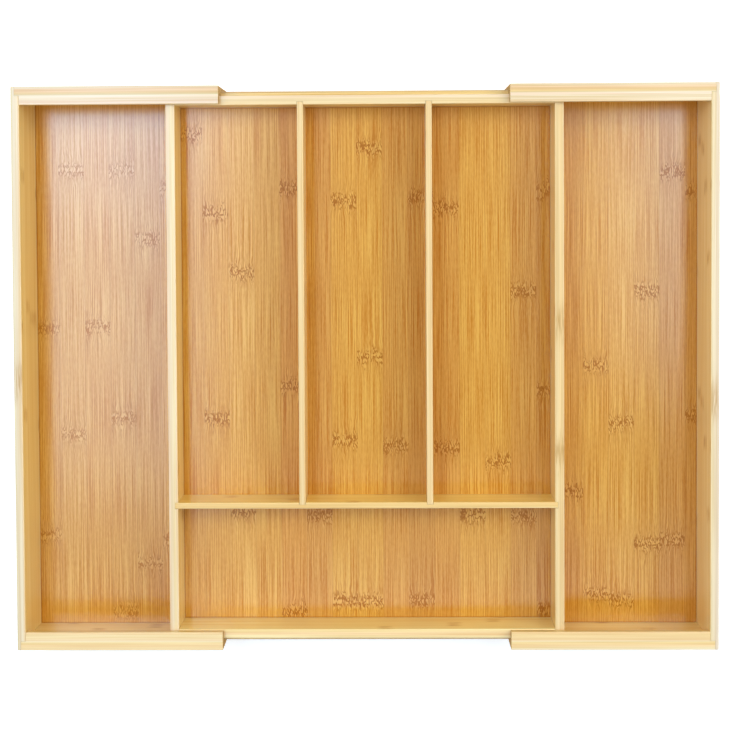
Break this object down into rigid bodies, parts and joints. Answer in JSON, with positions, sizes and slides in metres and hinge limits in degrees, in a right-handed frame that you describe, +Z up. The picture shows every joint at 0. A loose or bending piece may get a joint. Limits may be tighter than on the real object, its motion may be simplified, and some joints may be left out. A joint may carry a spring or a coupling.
{
  "type": "cutlery tray",
  "caption": "Extending bamboo cutlery tray: a divided centre tray between side trays that slide out to widen it, with lips capping its walls.",
  "frame": {"origin": "on the table, under the middle of the tray pulled right out", "axes": "+X to the right, the way the right tray pulls out; +Y from the front compartment to the back; +Z up"},
  "size_m": [0.46, 0.37, 0.05],
  "materials": {
    "bamboo_floor": "satin lacquered bamboo panel",
    "bamboo_board": "satin lacquered bamboo board",
    "bamboo_strip": "satin lacquered bamboo strip"
  },
  "bodies": {
    "centre_tray": {"centre_floor": "bamboo_floor", "centre_back_wall": "bamboo_board", "centre_front_wall": "bamboo_board", "centre_left_wall": "bamboo_board", "centre_right_wall": "bamboo_board", "cross_divider": "bamboo_board", "left_divider": "bamboo_board", "right_divider": "bamboo_board", "back_slide_rail": "bamboo_strip", "front_slide_rail": "bamboo_strip"},
    "left_tray": {"left_outer_board": "bamboo_board", "left_front_board": "bamboo_board", "left_back_board": "bamboo_board", "left_front_lip": "bamboo_strip", "left_back_lip": "bamboo_strip", "left_floor": "bamboo_floor", "left_stop_strip": "bamboo_strip"},
    "right_tray": {"right_outer_board": "bamboo_board", "right_front_board": "bamboo_board", "right_back_board": "bamboo_board", "right_front_lip": "bamboo_strip", "right_back_lip": "bamboo_strip", "right_floor": "bamboo_floor", "right_stop_strip": "bamboo_strip"}
  },
  "joints": [
    {"name": "left_tray_slide", "type": "slide", "parent": "centre_tray", "child": "left_tray", "axis": [1, 0, 0], "range_m": [0, 0.094]},
    {"name": "right_tray_slide", "type": "slide", "parent": "centre_tray", "child": "right_tray", "axis": [-1, 0, 0], "range_m": [0, 0.094]}
  ]
}
